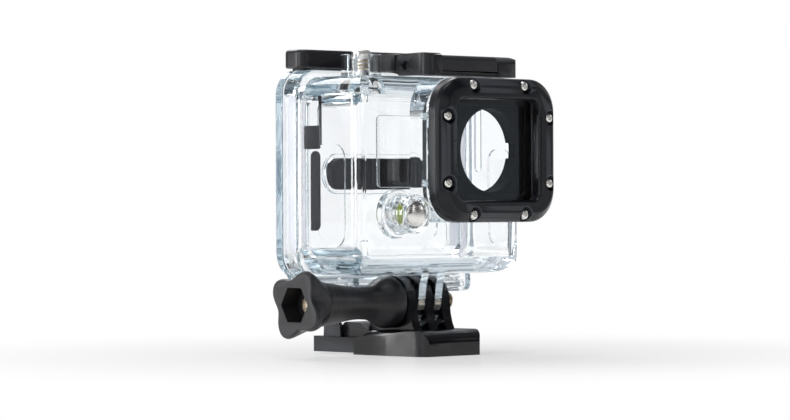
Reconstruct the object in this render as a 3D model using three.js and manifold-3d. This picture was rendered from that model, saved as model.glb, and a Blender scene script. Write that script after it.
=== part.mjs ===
// Clear waterproof housing for a small action camera, on a quick-release buckle with a thumb screw.
// Millimetres, +Z up, the lens looks along -Y. The origin lies on the centre line of the buckle's
// underside, a little in front of the tilt axis.
import * as THREE from 'three';
import { mergeVertices } from 'three/addons/utils/BufferGeometryUtils.js';
import Module from 'manifold-3d';

const wasm = await Module();
wasm.setup();

// ---- Driving dimensions -------------------------------------------------------------------------

const GAP = 0.3;                 // air kept between neighbouring pieces
const PIVOT_Y = 1.6;             // tilt axis, along X, behind the origin
const PIVOT_Z = 14.42;           // and above the buckle's underside
const PRONG_PITCH = 6.25;        // centre to centre of the three buckle prongs
const PRONG_THICK = 3;
const PRONG_R = 7.2;
const BOLT_R = 2.5;
const BOLT_HOLE_R = BOLT_R + GAP;

const BODY = { halfW: 32, front: -11.4, bottom: 22, top: 75.5, edgeR: 5.2, leftR: 3, rightR: 6.5 };
const CAVITY = { halfW: 29.9, front: -9.4, bottom: 26.6, top: 70.4, leftR: 1.2, rightR: 4.8 };
const FLANGE = { halfW: 33.7, bottom: 21, top: 77.5, front: 10.5, rear: 16.2, corner: 7 };
const SEAL_LAND = { halfW: 31.2, bottom: 24.6, top: 73.4, front: 11.1 };
const SEAL = { halfW: 30.9, bottom: 25.7, top: 73.1, front: 11.4, rear: 16.2, innerHalfW: 29.2 };
const DOOR = { front: 16.5, rear: 19.8, plugFront: 11.7, plugHalfW: 28.9, plugBottom: 26.9, plugTop: 71.1 };
const NOTCH = { left: -26.6, right: 23.4, z: 76.6 };   // groove in the door's top edge, under the hinge arm

// Soft pads: one on the door, and a strip and a block sunk in the left wall.
const PAD = { front: 13.6, inner: 29.75, outer: 30.25 };
const STRIP_LEFT = { front: 4.9, rear: 8.4, bottom: 34, top: 55.4 };
const BLOCK_LEFT = { front: 4.9, rear: 11, bottom: 55.9, top: 62.2 };
const RECESS_DEPTH = 0.7;
const RECESSES = [
  { side: -1, front: -5.4, rear: 12, bottom: 29.5, top: 57.2 },
  { side: -1, front: 4.1, rear: 12, bottom: 50, top: 69.8 },
  { side: 1, front: -6.5, rear: 2.2, bottom: 29.5, top: 56.2 }];

const HINGE = { y: 13, z: 18.6, barR: 1, clipInnerR: 1.3, clipOuterR: 2.05, halfLen: 32.3 };
const HINGE_LUGS = [-31.15, -12, 12, 31.15];
const LUG_HALF = 1.15;

const PORT = { x: 9.5, z: 55.5, halfW: 22.4, halfH: 19.5, corner: 9 };   // lens port, seen from the front
const BOSS_FRONT = -18.1;
const BACKING = { rear: -18.4, front: -21.1 };
const BEZEL = { rear: -21.3, front: -24, openX: 8.85, openZ: 55.53, openHalfW: 15.75, openHalfH: 13.6 };
const GLASS = { rear: -18.8, front: -20.4, halfW: 16.7, halfH: 14.4 };
const SHROUD = { front: -18.4, rear: -17.3, halfW: 16, halfH: 13.7, tubeRear: -12.5 };
const APERTURE = { x: 10.76, z: 55.6, r: 11.3, wall: 1 };
const SCREW = { headR: 1.35, headFront: -23.4, shankR: 0.7, seat: -22.1, tip: -15.2, holeR: 1 };
const SCREW_SPOTS = [[-9.8, 17.4], [9.8, 17.4], [19.45, 8.96], [19.45, -8.96],
  [9.8, -17.4], [-9.8, -17.4], [-19.45, -8.96], [-19.45, 8.96]];

const SHUTTER = { x: -18.5, y: 1.6, capR: 2.5, capTop: 82.6, capBottom: 80.2, stemR: 1.1, tip: 69.2 };
const MODE = { x: -18.8, z: 38.4, capR: 3.65, capFront: -21, capRear: -19.2, stemR: 1.2, tip: -9.5 };

const LATCH_PIN = { y: -4.5, z: 78.6, r: 0.9 };
const HUB_R = 2.7;
const ARM_RIGHT = 21.9;
const LATCH_SEAT = BODY.top + GAP;
const EAR_X = [-8, -5.6];
const RELEASE = { left: -2.8, right: 19.9, front: -12.4, rear: -8.1, bottom: 77.1, top: 81.4 };
const END_CAP = { left: 20.2, right: 29.5 };
const ARM_BAR = { left: -28.4, right: 24, front: 14.5, rear: 22.6, bottom: 78, top: 83.1 };

const KNOB = { face: -43.2, lobes: 4, lobeAngle: 0.54, socketR: 5.05, socketEnd: -37.5 };
const KNOB_RINGS = [   // level along X, mean radius, height of the lobes
  [-43.2, 7.7, 1.25], [-42.4, 8.5, 1.5], [-40.5, 8.2, 1.25], [-38, 7.3, 0.65], [-35.6, 6.5, 0.15],
  [-35, 5.95, 0], [-33, 5.75, 0], [-30, 5.5, 0], [-25, 4.72, 0], [-20, 4.38, 0], [-17.2, 4.55, 0],
  [-15.2, 5, 0], [-12.6, 6.3, 0], [-10.2, 7.05, 0], [-8.1, 6.8, 0]];
const FOOT = { halfW: 12.5, shoulderHalfW: 11.55, noseHalfW: 9.34, front: -15.1, shoulder: -9.3, flank: -1.2,
  rear: 11.5, top: 7, armRear: 27.5, humpHalfW: 9.7 };

// ---- Materials ----------------------------------------------------------------------------------

const finish = (color, roughness, metalness = 0) => () => new THREE.MeshStandardMaterial({ color, roughness, metalness });
const clearPlastic = () => new THREE.MeshStandardMaterial({
  color: 0xdfe9ea, roughness: 0.05, metalness: 0, transparent: true, opacity: 0.3 });
const blackPlastic = finish(0x1b1c1f, 0.45);
const bezelPlastic = finish(0x24262a, 0.5);
const knobPlastic = finish(0x26272a, 0.6);
const padFoam = finish(0x29272a, 0.85);
const sealRubber = finish(0xe4e8ee, 0.45);
const blackRubber = finish(0x141416, 0.7);
const limeSilicone = finish(0xb6cc2a, 0.5);
const steel = finish(0xc9c8c4, 0.25, 1);
const brass = finish(0xa98f5c, 0.35, 1);

// ---- Solids -------------------------------------------------------------------------------------

function solid(geometry) {
  const bare = geometry.clone();
  bare.deleteAttribute('normal');
  bare.deleteAttribute('uv');
  const merged = mergeVertices(bare, 1e-4);
  const index = merged.index.array;
  const kept = [];
  for (let i = 0; i < index.length; i += 3) {
    const [a, b, c] = [index[i], index[i + 1], index[i + 2]];
    if (a !== b && b !== c && a !== c) kept.push(a, b, c);
  }
  const vertProperties = new Float32Array(merged.attributes.position.array);
  return new wasm.Manifold(new wasm.Mesh({ numProp: 3, vertProperties, triVerts: new Uint32Array(kept) }));
}

const join = (...parts) => parts.reduce((whole, part) => whole.add(part));
const cut = (whole, ...tools) => tools.reduce((rest, tool) => rest.subtract(tool), whole);

function geometryOf(body) {
  const mesh = body.getMesh();
  const geometry = new THREE.BufferGeometry();
  geometry.setAttribute('position', new THREE.BufferAttribute(new Float32Array(mesh.vertProperties), 3));
  geometry.setIndex(new THREE.BufferAttribute(new Uint32Array(mesh.triVerts), 1));
  return geometry;
}

const model = new THREE.Group();

function add(name, body, material, x = 0, y = 0, z = 0) {
  const mesh = new THREE.Mesh(geometryOf(body), material());
  mesh.name = name;
  mesh.position.set(x, y, z);
  model.add(mesh);
}

// ---- Outlines and prisms ------------------------------------------------------------------------

function roundedOutline(x0, x1, y0, y1, radii) {
  const [bl, br, tr, tl] = Array.isArray(radii) ? radii : [radii, radii, radii, radii];
  const s = new THREE.Shape();
  s.moveTo(x0 + bl, y0);
  s.lineTo(x1 - br, y0);
  s.absarc(x1 - br, y0 + br, br, -Math.PI / 2, 0);
  s.lineTo(x1, y1 - tr);
  s.absarc(x1 - tr, y1 - tr, tr, 0, Math.PI / 2);
  s.lineTo(x0 + tl, y1);
  s.absarc(x0 + tl, y1 - tl, tl, Math.PI / 2, Math.PI);
  s.lineTo(x0, y0 + bl);
  s.absarc(x0 + bl, y0 + bl, bl, Math.PI, Math.PI * 1.5);
  return s;
}

function polygon(points) {
  return new THREE.Shape(points.map(([a, b]) => new THREE.Vector2(a, b)));
}

function disc(r, cx = 0, cy = 0, sides = 20) {
  const turn = (i) => (i * 2 * Math.PI) / sides;
  return polygon(Array.from({ length: sides }, (_, i) => [cx + r * Math.cos(turn(i)), cy + r * Math.sin(turn(i))]));
}

// An outline drawn in the plane across an axis, pushed along that axis from one level to the other.
// The outline's own axes are (X, Z) for 'y', (Y, Z) for 'x' and (X, Y) for 'z'.
function prism(axis, outline, from, to, { bevel = 0, arc = 4, rings = 2 } = {}) {
  const geometry = new THREE.ExtrudeGeometry(outline, {
    depth: to - from - 2 * bevel,
    curveSegments: arc,
    bevelEnabled: bevel > 0,
    bevelThickness: bevel,
    bevelSize: bevel,
    bevelOffset: -bevel,
    bevelSegments: rings });
  geometry.translate(0, 0, from + bevel);
  const turns = {
    x: new THREE.Matrix4().set(0, 0, 1, 0, 1, 0, 0, 0, 0, 1, 0, 0, 0, 0, 0, 1),
    y: new THREE.Matrix4().set(1, 0, 0, 0, 0, 0, -1, 0, 0, 1, 0, 0, 0, 0, 0, 1),
    z: new THREE.Matrix4() };
  if (axis === 'y') geometry.translate(0, 0, -(from + to));
  return solid(geometry.applyMatrix4(turns[axis]));
}

const box = (x0, x1, y0, y1, z0, z1) => prism('z', polygon([[x0, y0], [x1, y0], [x1, y1], [x0, y1]]), z0, z1);
const rod = (axis, r, a, b, from, to, sides = 20) => prism(axis, disc(r, a, b, sides), from, to);

// A turned piece: the profile is [along the axis, radius] pairs, from one end to the other.
function turned(axis, profile, sides = 20) {
  const points = [[profile[0][0], 0], ...profile, [profile[profile.length - 1][0], 0]];
  const lathe = new THREE.LatheGeometry(points.map(([along, r]) => new THREE.Vector2(r, along)), sides);
  if (axis === 'x') lathe.rotateZ(-Math.PI / 2);
  if (axis === 'z') lathe.rotateX(Math.PI / 2);
  const body = solid(lathe);
  return body.volume() < 0 ? solid(flipped(lathe)) : body;
}

function flipped(geometry) {
  const other = geometry.clone();
  const index = other.index.array;
  for (let i = 0; i < index.length; i += 3) [index[i], index[i + 1]] = [index[i + 1], index[i]];
  return other;
}

// A body along X through rings of equal count; each ring is a level and its (Y, Z) points.
function lofted(rings) {
  const count = rings[0].points.length;
  const vertices = rings.flatMap(({ level, points }) => points.flatMap(([y, z]) => [level, y, z]));
  const faces = [];
  for (let ring = 0; ring + 1 < rings.length; ring++) {
    for (let i = 0; i < count; i++) {
      const near = ring * count + i;
      const next = ring * count + (i + 1) % count;
      faces.push(near, next, near + count, next, next + count, near + count);
    }
  }
  const last = (rings.length - 1) * count;
  for (let i = 1; i + 1 < count; i++) faces.push(0, i + 1, i, last, last + i, last + i + 1);
  const geometry = new THREE.BufferGeometry();
  geometry.setAttribute('position', new THREE.BufferAttribute(new Float32Array(vertices), 3));
  geometry.setIndex(faces);
  const body = solid(geometry);
  return body.volume() < 0 ? solid(flipped(geometry)) : body;
}

// A coil spring along +Z from 0 to its length.
function coil(radius, wire, length, turns) {
  const points = [];
  const steps = turns * 9;
  for (let i = 0; i <= steps; i++) {
    const angle = (i / steps) * turns * 2 * Math.PI;
    const z = wire + (i / steps) * (length - 2 * wire);
    points.push(new THREE.Vector3(radius * Math.cos(angle), radius * Math.sin(angle), z));
  }
  const path = new THREE.CatmullRomCurve3(points);
  return solid(new THREE.ExtrudeGeometry(disc(wire, 0, 0, 5), { steps, extrudePath: path }));
}

// ---- Quick-release buckle -----------------------------------------------------------------------

const across = (hand, inner, outer) => (hand < 0 ? [-outer, -inner] : [inner, outer]);
const boltHole = (from, to) => rod('x', BOLT_HOLE_R, PIVOT_Y, PIVOT_Z, from, to);

function buckle() {
  const plan = new THREE.Shape();
  plan.moveTo(-FOOT.noseHalfW, FOOT.front);
  plan.lineTo(FOOT.noseHalfW, FOOT.front);
  plan.quadraticCurveTo(FOOT.shoulderHalfW, -12.5, FOOT.shoulderHalfW, FOOT.shoulder);
  plan.lineTo(FOOT.halfW, FOOT.flank);
  plan.lineTo(FOOT.halfW, FOOT.rear);
  plan.lineTo(-FOOT.halfW, FOOT.rear);
  plan.lineTo(-FOOT.halfW, FOOT.flank);
  plan.lineTo(-FOOT.shoulderHalfW, FOOT.shoulder);
  plan.quadraticCurveTo(-FOOT.shoulderHalfW, -12.5, -FOOT.noseHalfW, FOOT.front);
  const side = new THREE.Shape();
  side.moveTo(FOOT.front, 0);
  side.lineTo(FOOT.rear, 0);
  side.lineTo(FOOT.rear, 4.6);
  side.lineTo(8, 5.2);
  side.quadraticCurveTo(5, FOOT.top, 1, FOOT.top);
  side.lineTo(-11.6, FOOT.top);
  side.quadraticCurveTo(FOOT.front, FOOT.top, FOOT.front, 3.4);
  const face = prism('y', roundedOutline(-FOOT.halfW, FOOT.halfW, 0, FOOT.top, [0.2, 0.2, 1.8, 1.8]), -20, 20);
  let body = prism('z', plan, 0, 12, { arc: 5 }).intersect(prism('x', side, -14, 14, { arc: 5 })).intersect(face);
  const arm = polygon([[FOOT.rear - 2, 0.5], [FOOT.armRear, 0.5], [FOOT.armRear, 4.8], [FOOT.rear - 2, 4.6]]);
  const tab = polygon([[17.8, 4], [24.8, 4], [24.3, 8.6], [18.1, 8.6]]);
  const pad = polygon([[23.3, 0.6], [FOOT.armRear, 0.6], [FOOT.armRear, 4.7], [23.3, 4.7]]);
  for (const hand of [-1, 1]) {
    body = join(body, prism('x', arm, ...across(hand, 10.2, FOOT.halfW)), prism('x', tab, ...across(hand, 10.1, 11.4)),
      prism('x', pad, ...across(hand, 7.5, FOOT.halfW)));
  }
  const hump = polygon([[7, 0.5], [18.4, 0.5], [18.8, 7.6], [17.6, 8.8], [12, 8.6], [7, 6]]);
  body = join(body, prism('x', hump, -FOOT.humpHalfW, FOOT.humpHalfW));
  for (const k of [-1, 0, 1]) {
    const x = k * PRONG_PITCH;
    const foot = polygon([[-7.9, 6], [10.6, 6], [PIVOT_Y + PRONG_R, PIVOT_Z], [PIVOT_Y - PRONG_R, PIVOT_Z]]);
    body = join(body, prism('x', foot, x - PRONG_THICK / 2, x + PRONG_THICK / 2),
      rod('x', PRONG_R, PIVOT_Y, PIVOT_Z, x - PRONG_THICK / 2, x + PRONG_THICK / 2, 32));
  }
  const nutPocket = prism('x', disc(4.95, PIVOT_Y, PIVOT_Z, 6), 5.45, 9);
  return cut(body, boltHole(-9, 9), nutPocket);
}

function captiveNut() {
  return cut(prism('x', disc(4.6, PIVOT_Y, PIVOT_Z, 6), 5.75, 7.7), boltHole(5, 9));
}

function thumbKnob() {
  const ring = ([level, r, lobe]) => ({
    level,
    points: Array.from({ length: 36 }, (_, i) => {
      const angle = (i / 36) * 2 * Math.PI;
      const reach = r + lobe * Math.cos(KNOB.lobes * (angle - KNOB.lobeAngle));
      return [PIVOT_Y + reach * Math.cos(angle), PIVOT_Z + reach * Math.sin(angle)];
    }) });
  const socket = prism('x', disc(KNOB.socketR, PIVOT_Y, PIVOT_Z, 6), KNOB.face - 1, KNOB.socketEnd);
  return cut(lofted(KNOB_RINGS.map(ring)), socket, boltHole(KNOB.face - 1, 0));
}

function thumbBolt() {
  return turned('x', [[-38.4, 2.2], [-38.1, BOLT_R], [13.6, BOLT_R], [14.4, 1.6]], 16).translate([0, PIVOT_Y, PIVOT_Z]);
}

// ---- Clear front shell --------------------------------------------------------------------------

// The shell seen from the front, from the side and from above, each with its own corner roundings.
function bodyShell() {
  const { halfW, front, bottom, top, edgeR, leftR, rightR } = BODY;
  const rear = FLANGE.front + 1;
  const face = prism('y', roundedOutline(-halfW, halfW, bottom, top, [6.5, 11, 6.5, 6.5]), front, rear, { arc: 6 });
  const side = prism('x', roundedOutline(front, rear + 5, bottom, top, [edgeR, 1, 1, edgeR]), -halfW - 1, halfW + 1);
  const plan = prism('z', roundedOutline(-halfW, halfW, front, rear + 5, [leftR, rightR, 1, 1]), bottom - 1, top + 1);
  const flange = prism('y', roundedOutline(-FLANGE.halfW, FLANGE.halfW, FLANGE.bottom, FLANGE.top, FLANGE.corner),
    FLANGE.front, FLANGE.rear, { bevel: 0.6, rings: 1 });
  return join(face.intersect(side).intersect(plan), flange);
}

function bodyCavity() {
  const { halfW, front, bottom, top, leftR, rightR } = CAVITY;
  const plan = roundedOutline(-halfW, halfW, front, 30, [leftR, rightR, 1, 1]);
  return prism('y', roundedOutline(-halfW, halfW, bottom, top, 4), front, 28)
    .intersect(prism('z', plan, bottom - 1, top + 1));
}

function lensBoss() {
  return prism('y', roundedOutline(PORT.x - PORT.halfW, PORT.x + PORT.halfW, PORT.z - PORT.halfH,
    PORT.z + PORT.halfH, PORT.corner), BOSS_FRONT, BODY.front + 3, { arc: 5 });
}

function shutterBoss() {
  const at = (r, from, to, sides) => rod('z', r, SHUTTER.x, SHUTTER.y, from, to, sides);
  const guard = cut(at(5.45, 74, 81.4, 24), at(4.55, 75.5, 90, 20),
    box(SHUTTER.x - 8, SHUTTER.x, SHUTTER.y - 2.6, SHUTTER.y - 0.4, 76.6, 90));
  return join(guard, at(3.3, 74, 81.6, 20));
}

function modeBoss() {
  const at = (r, from, to) => rod('y', r, MODE.x, MODE.z, from, to, 24);
  return join(at(6.5, -12.7, -10.5), at(5.15, -20.4, -10.5));
}

function housingProng(side) {
  const x = side * PRONG_PITCH / 2;
  const half = (PRONG_PITCH - PRONG_THICK) / 2 - GAP;
  const web = polygon([[PIVOT_Y - PRONG_R, PIVOT_Z], [PIVOT_Y + PRONG_R, PIVOT_Z], [10.4, 23.5], [-7.6, 23.5]]);
  return join(prism('x', web, x - half, x + half), rod('x', PRONG_R, PIVOT_Y, PIVOT_Z, x - half, x + half, 32));
}

function hingeLug(x) {
  const web = polygon([[HINGE.y - 2.05, HINGE.z], [HINGE.y + 2.05, HINGE.z], [HINGE.y + 2.05, 22], [HINGE.y - 2.05, 22]]);
  return join(rod('x', HINGE.clipOuterR, HINGE.y, HINGE.z, x - LUG_HALF, x + LUG_HALF, 14),
    prism('x', web, x - LUG_HALF, x + LUG_HALF));
}

function windowFrame() {
  const ring = (grow) => roundedOutline(-25.4 - grow, -9.5 + grow, 45.4 - grow, 64.7 + grow, 1.5 + grow);
  return cut(prism('y', ring(0), BODY.front - 0.35, BODY.front + 0.5, { arc: 3 }),
    prism('y', ring(-0.8), BODY.front - 1, BODY.front, { arc: 3 }));
}

function housingFront() {
  let shell = join(bodyShell(), lensBoss(), shutterBoss(), modeBoss(), windowFrame(),
    housingProng(-1), housingProng(1), ...HINGE_LUGS.map(hingeLug),
    rod('x', HINGE.barR, HINGE.y, HINGE.z, -HINGE.halfLen + 1, HINGE.halfLen - 1, 12));
  const land = prism('y', roundedOutline(-SEAL_LAND.halfW, SEAL_LAND.halfW, SEAL_LAND.bottom, SEAL_LAND.top, 5),
    SEAL_LAND.front, 30, { arc: 4 });
  const portPocket = prism('y', roundedOutline(PORT.x - 20, PORT.x + 19.4, PORT.z - 17, PORT.z + 14.4, 7),
    -15, CAVITY.front + 1, { arc: 5 });
  const portOpening = prism('y', roundedOutline(PORT.x - 16.9, PORT.x + 15.6, PORT.z - 14, PORT.z + 14, 3),
    -30, CAVITY.front, { arc: 4 });
  shell = cut(shell, bodyCavity(), land, portPocket, portOpening);
  for (const [dx, dz] of SCREW_SPOTS) {
    shell = cut(shell, rod('y', SCREW.holeR, PORT.x + dx, PORT.z + dz, -19, SCREW.tip + 0.4, 8));
  }
  const shutterHole = (r, from, to, sides = 16) => rod('z', r, SHUTTER.x, SHUTTER.y, from, to, sides);
  const modeHole = (r, from, to, sides = 16) => rod('y', r, MODE.x, MODE.z, from, to, sides);
  shell = cut(shell,
    shutterHole(2.8, 76.6, 90), shutterHole(1.4, 60, 80, 12), shutterHole(2.7, 60, 72.6),
    modeHole(3.95, -30, -16.9, 20), modeHole(3.5, -17, -13.6), modeHole(1.5, -30, -5, 12),
    modeHole(2.9, -11, -5));
  for (const { side, front, rear, bottom, top } of RECESSES) {
    const [from, to] = across(side, CAVITY.halfW - 1, CAVITY.halfW + RECESS_DEPTH);
    shell = cut(shell, box(from, to, front, rear, bottom, top));
  }
  return cut(shell, boltHole(-9, 9));
}

// ---- Back door ----------------------------------------------------------------------------------

function backDoor() {
  const outline = roundedOutline(-FLANGE.halfW, FLANGE.halfW, FLANGE.bottom, FLANGE.top, FLANGE.corner);
  const plate = prism('y', outline, DOOR.front, DOOR.rear, { bevel: 0.8, rings: 1 });
  const ring = (grow, radius) => roundedOutline(-DOOR.plugHalfW - grow, DOOR.plugHalfW + grow,
    DOOR.plugBottom - grow, DOOR.plugTop + grow, radius);
  const plug = cut(prism('y', ring(0, 3.5), DOOR.plugFront, DOOR.front + 0.5, { arc: 4 }),
    prism('y', ring(-1.6, 2.2), DOOR.plugFront - 1, DOOR.front, { arc: 4 }));
  const padRim = cut(prism('y', pill(1.2), DOOR.front - 1.1, DOOR.front + 0.5, { arc: 5 }),
    prism('y', pill(0.35), DOOR.front - 2, DOOR.front, { arc: 5 }));
  const web = polygon([[HINGE.y, HINGE.z - 1.9], [15.8, HINGE.z - 1.6], [19.2, 21.6], [16.6, 21.6],
    [16.6, HINGE.z + 0.9], [HINGE.y, HINGE.z + 0.9]]);
  let door = join(plate, plug, padRim);
  for (const [from, to] of [[-29.7, -13.45], [-10.55, 10.55], [13.45, 29.7]]) {
    const clip = join(rod('x', HINGE.clipOuterR, HINGE.y, HINGE.z, from, to, 16), prism('x', web, from, to));
    door = join(door, cut(clip, rod('x', HINGE.clipInnerR, HINGE.y, HINGE.z, from - 1, to + 1, 12),
      box(from - 1, to + 1, HINGE.y - 4, HINGE.y, HINGE.z - 3, HINGE.z - 0.75)));
  }
  return cut(door, box(NOTCH.left, NOTCH.right, 15, 25, NOTCH.z, 80));
}

const wallPad = ({ front, rear, bottom, top }) => box(-PAD.outer, -PAD.inner, front, rear, bottom, top);

const pill = (grow) => roundedOutline(-17.6 - grow, 20 + grow, 45.1 - grow, 53.7 + grow, 4 + grow);

// The seal's lower edge sits higher than its seat, so that it swings clear as the door opens.
function doorSeal() {
  const outer = roundedOutline(-SEAL.halfW, SEAL.halfW, SEAL.bottom, SEAL.top, 4.7);
  const inner = roundedOutline(-SEAL.innerHalfW, SEAL.innerHalfW, DOOR.plugBottom - GAP, DOOR.plugTop + GAP, 3.8);
  return cut(prism('y', outer, SEAL.front, SEAL.rear, { bevel: 0.5, arc: 4, rings: 1 }),
    prism('y', inner, SEAL.front - 1, SEAL.rear + 1, { arc: 4 }));
}

// ---- Lens port ----------------------------------------------------------------------------------

const portOutline = (grow) => roundedOutline(PORT.x - PORT.halfW - grow, PORT.x + PORT.halfW + grow,
  PORT.z - PORT.halfH - grow, PORT.z + PORT.halfH + grow, PORT.corner + grow);
const centred = (halfW, halfH, r) => roundedOutline(BEZEL.openX - halfW, BEZEL.openX + halfW,
  BEZEL.openZ - halfH, BEZEL.openZ + halfH, r);

function lensBezel() {
  const plate = prism('y', portOutline(0), BEZEL.front, BEZEL.rear + 2, { bevel: 2, arc: 5, rings: 2 })
    .intersect(box(-40, 60, BEZEL.front - 1, BEZEL.rear, 0, 100));
  let body = cut(plate, prism('y', centred(BEZEL.openHalfW, BEZEL.openHalfH, 2.5), -30, -15, { arc: 4 }));
  for (const [dx, dz] of SCREW_SPOTS) {
    body = cut(body, rod('y', 1.95, PORT.x + dx, PORT.z + dz, -30, SCREW.seat + 0.3, 14),
      rod('y', SCREW.holeR, PORT.x + dx, PORT.z + dz, -30, -15, 8));
  }
  return body;
}

function bezelBacking() {
  let body = cut(prism('y', portOutline(0), BACKING.front, BACKING.rear, { arc: 5 }),
    prism('y', centred(GLASS.halfW + GAP, GLASS.halfH + GAP, 2.8), -30, -15, { arc: 4 }));
  for (const [dx, dz] of SCREW_SPOTS) {
    body = cut(body, rod('y', SCREW.holeR, PORT.x + dx, PORT.z + dz, -30, -15, 8));
  }
  return body;
}

function glassGasket() {
  return cut(prism('y', centred(GLASS.halfW, GLASS.halfH, 2.5), BEZEL.rear + 0.1, GLASS.front - 0.3, { arc: 4 }),
    prism('y', centred(BEZEL.openHalfW, BEZEL.openHalfH, 2.2), -30, -15, { arc: 4 }));
}

function lensShroud() {
  const plate = prism('y', centred(SHROUD.halfW - 0.2, SHROUD.halfH - 0.2, 2.4), SHROUD.front, SHROUD.rear, { arc: 4 });
  const well = prism('y', roundedOutline(BEZEL.openX - 14, BEZEL.openX + 14, 43.6, 67.6, 2), -30, -17.9, { arc: 4 });
  const tube = rod('y', APERTURE.r + APERTURE.wall, APERTURE.x, APERTURE.z, SHROUD.rear - 0.3, SHROUD.tubeRear, 28);
  const slot = box(APERTURE.x + 8, APERTURE.x + 14, -16, -12, APERTURE.z - 2.1, APERTURE.z + 2.1);
  return cut(join(cut(plate, well), tube), rod('y', APERTURE.r, APERTURE.x, APERTURE.z, -30, 0, 28), slot);
}

function bezelScrew() {
  const head = turned('y', [[0, 0.95], [0.3, 1.25], [0.6, SCREW.headR], [1.3, SCREW.headR]], 12);
  const shank = rod('y', SCREW.shankR, 0, 0, 1.2, SCREW.tip - SCREW.headFront, 8);
  return cut(join(head, shank), prism('y', disc(0.62, 0, 0, 6), -1, 0.7));
}

// ---- Latch --------------------------------------------------------------------------------------

const pinHole = (from, to) => rod('x', LATCH_PIN.r + GAP, LATCH_PIN.y, LATCH_PIN.z, from, to, 16);

function latchBase() {
  const block = prism('x', polygon([[-13.1, LATCH_SEAT], [-2.2, LATCH_SEAT], [-1.2, 76.6], [-0.9, 77.6], [-1, 79.6],
    [-1.5, 81], [-2.4, 81.7], [-11.6, 81.9], [-12.7, 81.4], [-13.1, 80.4]]), EAR_X[0], -2)
    .intersect(prism('z', roundedOutline(EAR_X[0], 0, -13.1, 0, [3.2, 1, 1, 1.2]), 75, 83));
  const armRoom = box(EAR_X[1], 0, -7.5, 0, 75, 83);
  const releaseRoom = box(EAR_X[1], 0, -12.7, -7, LATCH_SEAT + 1, 81.7);
  const floor = box(-3, END_CAP.left + 2, -12, -7.6, LATCH_SEAT, LATCH_SEAT + 1);
  const capPlan = roundedOutline(END_CAP.left, END_CAP.right, -12.6, 3, [0.6, 4.6, 2.6, 0.6]);
  const capFace = roundedOutline(END_CAP.left, END_CAP.right, LATCH_SEAT, 81.5, [0.6, 1.2, 3.4, 0.8]);
  const armEnd = box(END_CAP.left - 1, ARM_RIGHT + GAP, -7.5, 4, LATCH_SEAT - 1, 83);
  const cap = cut(prism('z', capPlan, 75, 83).intersect(prism('y', capFace, -14, 4)), armEnd);
  return cut(join(cut(block, armRoom, releaseRoom), floor, cap), pinHole(-10, 26));
}

function latchArm() {
  const [py, pz] = [LATCH_PIN.y, LATCH_PIN.z];
  const side = polygon([[py, pz + HUB_R], [2, 81.9], [ARM_BAR.front, 82.4], [ARM_BAR.rear - 1.2, ARM_BAR.top],
    [ARM_BAR.rear, 81.8], [ARM_BAR.rear, ARM_BAR.bottom], [ARM_BAR.front, ARM_BAR.bottom], [4.7, 77.2],
    [1, 76.4], [py, pz - HUB_R]]);
  const hub = join(prism('x', side, EAR_X[1] + GAP, ARM_RIGHT),
    rod('x', HUB_R, py, pz, EAR_X[1] + GAP, ARM_RIGHT, 20));
  const flank = prism('x', polygon([[-0.4, 77.2], [4.7, 77.2], [ARM_BAR.front + 1, ARM_BAR.bottom],
    [ARM_BAR.front + 1, 82.4], [2, 81.9], [-0.4, 81.6]]), EAR_X[0], EAR_X[1] + 0.5);
  const barPlan = roundedOutline(ARM_BAR.left, ARM_BAR.right, ARM_BAR.front, ARM_BAR.rear, 2.6);
  const bar = prism('z', barPlan, ARM_BAR.bottom, ARM_BAR.top, { bevel: 0.7, rings: 1 });
  const lip = prism('x', polygon([[18.2, 77], [20.4, 77], [20.6, 77.4], [20.6, 79], [18.2, 79]]), -26.2, 22.6);
  return cut(join(hub, flank, bar, lip), pinHole(-10, 26));
}

function latchRelease() {
  const side = new THREE.Shape();
  side.moveTo(RELEASE.front, RELEASE.bottom);
  side.lineTo(RELEASE.rear, RELEASE.bottom);
  side.lineTo(RELEASE.rear, RELEASE.top);
  side.lineTo(RELEASE.front + 1.6, RELEASE.top);
  side.quadraticCurveTo(RELEASE.front, RELEASE.top, RELEASE.front, RELEASE.top - 1.6);
  const body = prism('x', side, RELEASE.left, RELEASE.right, { arc: 5 });
  return cut(body, rod('x', 1.5, -10.2, 79.2, RELEASE.left - 1, 3.4, 16));
}

// ---- Buttons ------------------------------------------------------------------------------------

function shutterButton() {
  const groove = SHUTTER.tip + 1.2;
  return turned('z', [[SHUTTER.tip, 0.7], [SHUTTER.tip + 0.3, SHUTTER.stemR], [groove, SHUTTER.stemR],
    [groove, 0.7], [groove + 0.6, 0.7], [groove + 0.6, SHUTTER.stemR], [SHUTTER.capBottom, SHUTTER.stemR],
    [SHUTTER.capBottom, SHUTTER.capR], [SHUTTER.capTop - 0.4, SHUTTER.capR], [SHUTTER.capTop - 0.1, 2.1],
    [SHUTTER.capTop, 1.4]], 16).translate([SHUTTER.x, SHUTTER.y, 0]);
}

function modeButton() {
  return turned('y', [[MODE.capFront, 1.6], [MODE.capFront + 0.25, 2.9], [MODE.capFront + 0.7, MODE.capR],
    [MODE.capRear, MODE.capR], [MODE.capRear, MODE.stemR], [-11.1, MODE.stemR], [-11.1, 0.75], [-10.5, 0.75],
    [-10.5, MODE.stemR], [MODE.tip - 0.3, MODE.stemR], [MODE.tip, 0.8]], 18).translate([MODE.x, 0, MODE.z]);
}

function retainingClip(axis, innerR, outerR) {
  const ring = cut(rod(axis, outerR, 0, 0, 0, 0.3, 14), rod(axis, innerR, 0, 0, -1, 1, 10));
  return axis === 'z' ? cut(ring, box(0, 5, -0.5, 0.5, -1, 1)) : cut(ring, box(0, 5, -1, 1, -0.5, 0.5));
}

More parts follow.
